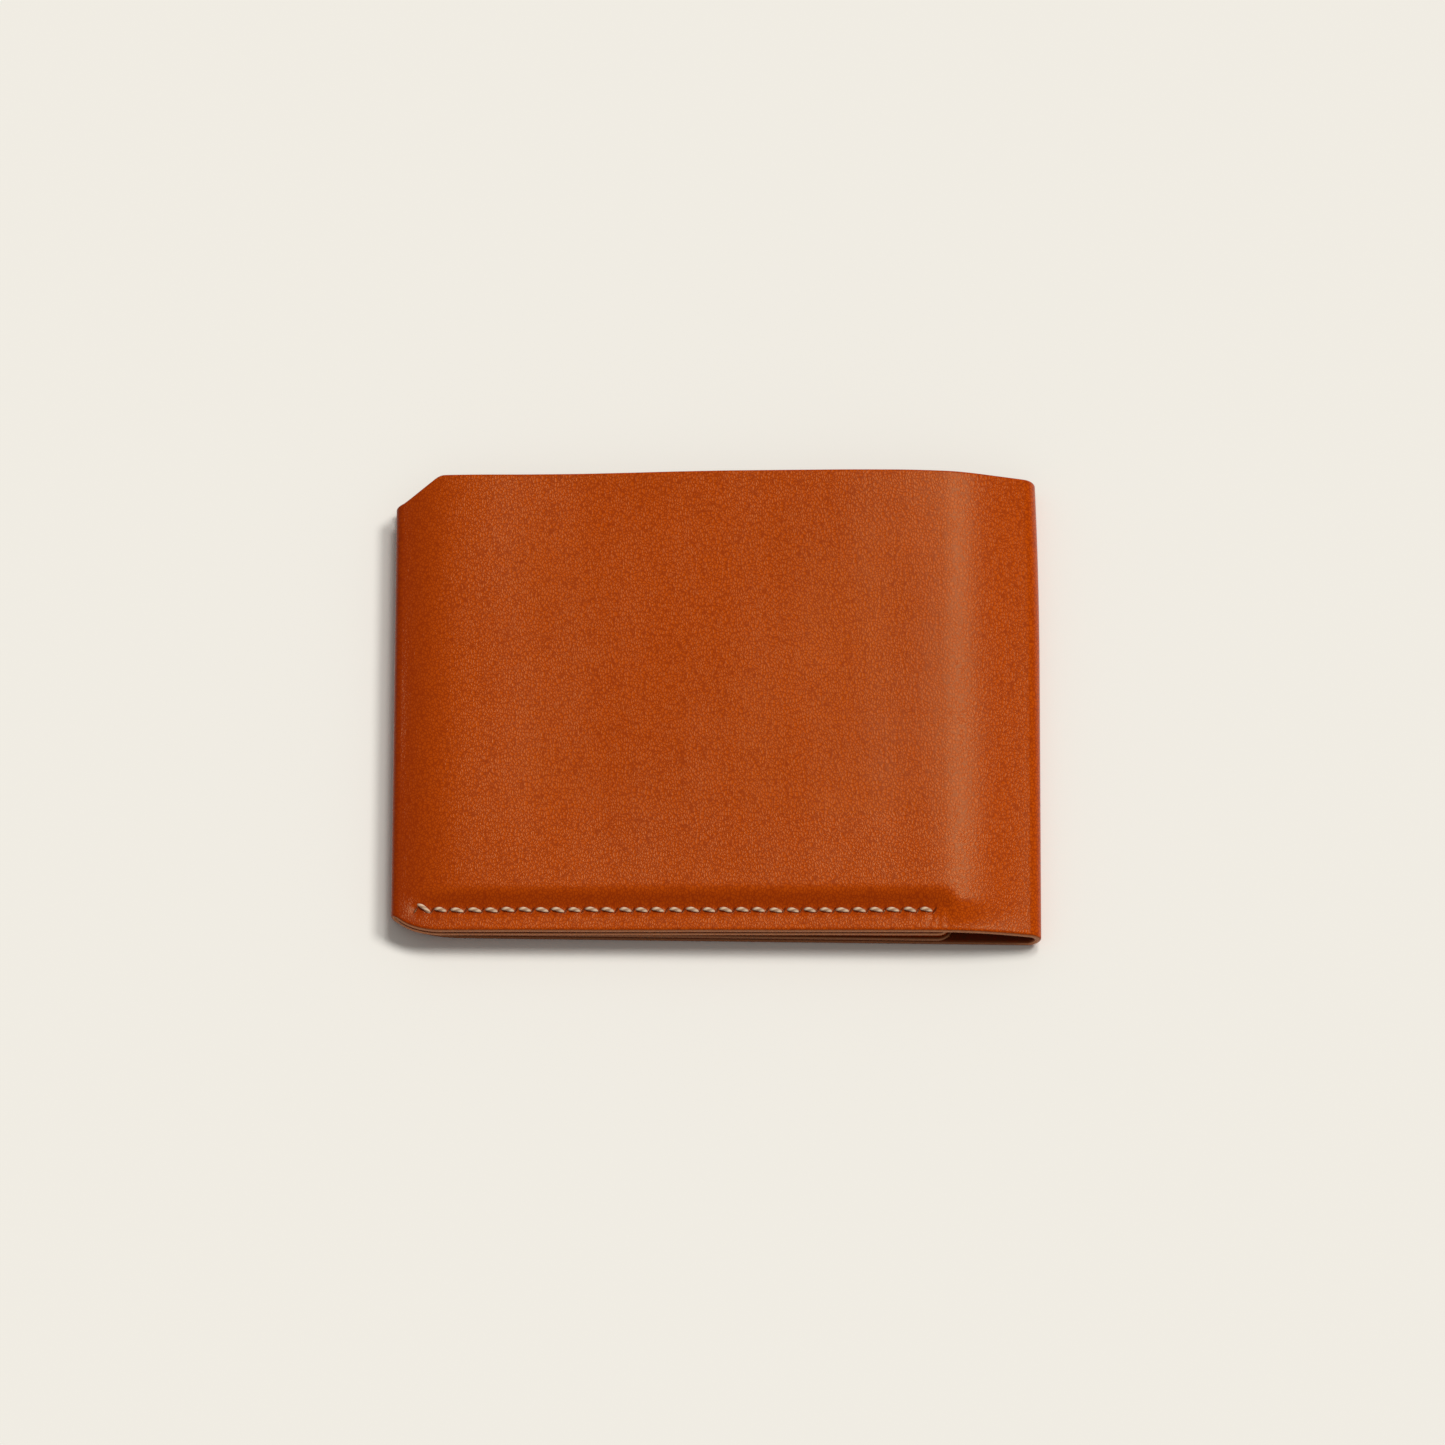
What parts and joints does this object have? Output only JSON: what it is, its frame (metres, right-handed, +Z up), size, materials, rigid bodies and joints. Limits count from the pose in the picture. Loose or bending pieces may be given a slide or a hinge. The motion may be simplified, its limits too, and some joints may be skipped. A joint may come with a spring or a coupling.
{
  "type": "bifold wallet",
  "caption": "Closed leather bifold wallet: two covers with sewn pocket flaps joined by a turned fold that opens flat.",
  "frame": {"origin": "middle of the closed wallet's footprint, on the face it lies on", "axes": "+X from the free edge to the tip of the fold, -Y is the stitched edge, +Z up through the closed wallet"},
  "size_m": [0.11, 0.085, 0.0078],
  "materials": {
    "shell_leather": "tan pebbled full-grain leather, semi-matt",
    "edge_leather": "the same leather turned over at the free edge and pressed",
    "thread": "twisted natural linen thread, lightly waxed"
  },
  "bodies": {
    "back_half": {"back_cover": "shell_leather", "back_turned_edge": "edge_leather", "back_pocket_flap": "shell_leather", "back_seam_thread": "thread", "lower_fold_bend": "shell_leather"},
    "fold_spine": {"spine_strip": "shell_leather", "upper_fold_bend": "shell_leather"},
    "fold_panel": {"front_fold_panel": "shell_leather"},
    "front_half": {"front_cover": "shell_leather", "front_turned_edge": "edge_leather", "front_pocket_flap": "shell_leather", "front_seam_thread": "thread"}
  },
  "joints": [
    {"name": "fold_lower_bend", "type": "hinge", "parent": "back_half", "child": "fold_spine", "pos_m": [0.05393, 0, 0.00107], "axis": [0, 1, 0], "range_deg": [0, 90], "deforming": ["lower_fold_bend"]},
    {"name": "fold_upper_bend", "type": "hinge", "parent": "fold_spine", "child": "fold_panel", "pos_m": [0.05404, 0, 0.00393], "axis": [0, 1, 0], "range_deg": [0, 78], "deforming": ["upper_fold_bend"]},
    {"name": "front_crease", "type": "hinge", "parent": "fold_panel", "child": "front_half", "pos_m": [0.0405, 0, 0.00712], "axis": [0, 1, 0], "range_deg": [0, 13.32]}
  ],
  "couplings": [
    {"joint": "fold_upper_bend", "follows": "fold_lower_bend", "ratio": 0.86667},
    {"joint": "front_crease", "follows": "fold_lower_bend", "ratio": 0.14788}
  ]
}
